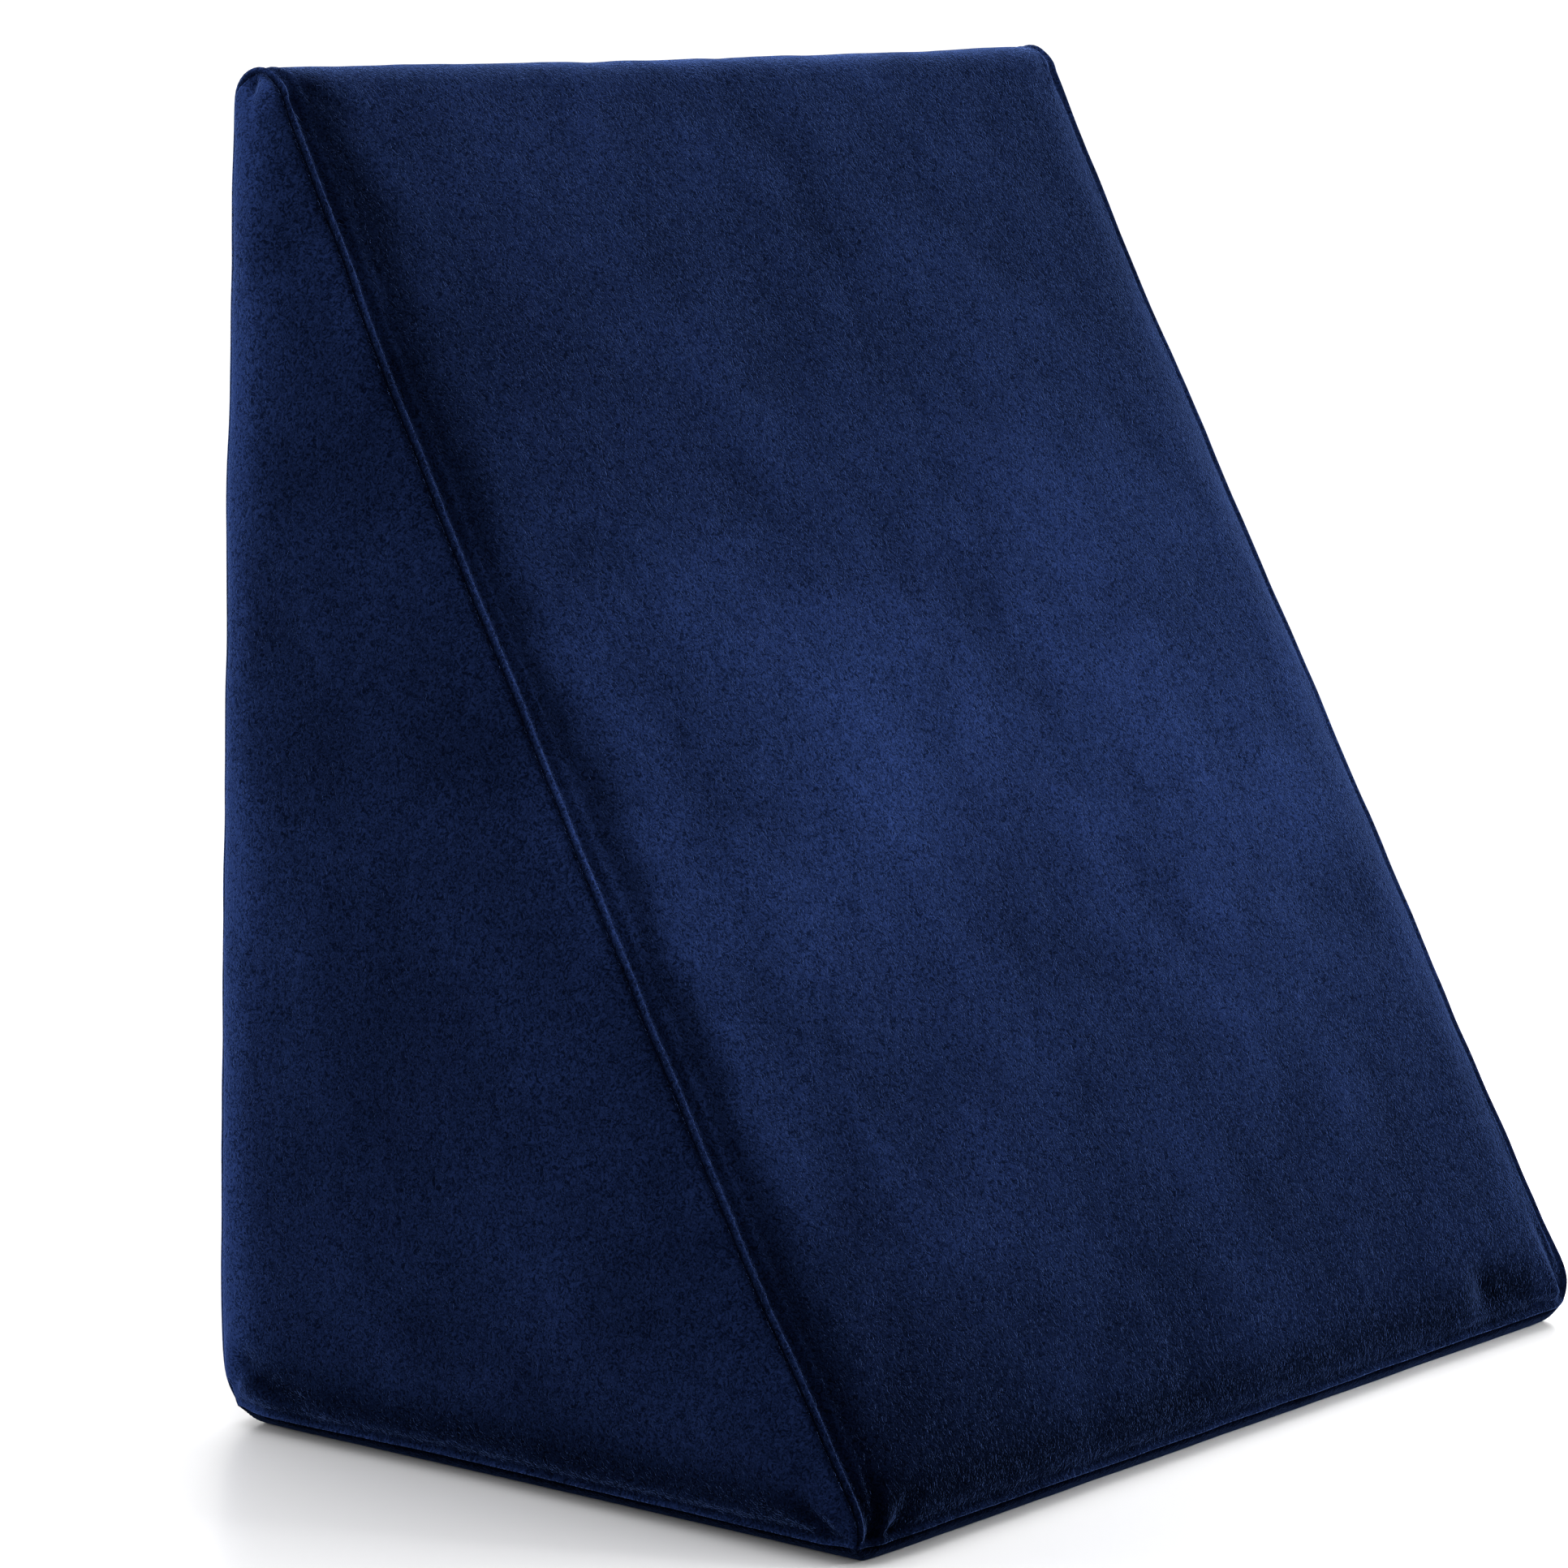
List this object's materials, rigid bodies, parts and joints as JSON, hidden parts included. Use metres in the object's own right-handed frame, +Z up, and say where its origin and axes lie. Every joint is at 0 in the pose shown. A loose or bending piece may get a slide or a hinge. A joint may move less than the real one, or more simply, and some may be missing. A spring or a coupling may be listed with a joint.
{
  "type": "wedge pillow",
  "caption": "Right-triangle wedge cushion with a sloped rest, an upright back and a blunt top, in a sewn velvet cover.",
  "frame": {"origin": "bottom centre of the bounding box, on the surface the pillow stands on", "axes": "+Z up; +Y from the toe of the slope to the upright back; X from side panel to side panel, along the length of the wedge"},
  "size_m": [0.5, 0.3, 0.5],
  "materials": {
    "velvet": "matt cut-pile velvet, navy blue, with a soft sheen at grazing angles"
  },
  "bodies": {
    "root": {"wedge_pillow": "velvet"}
  },
  "joints": []
}
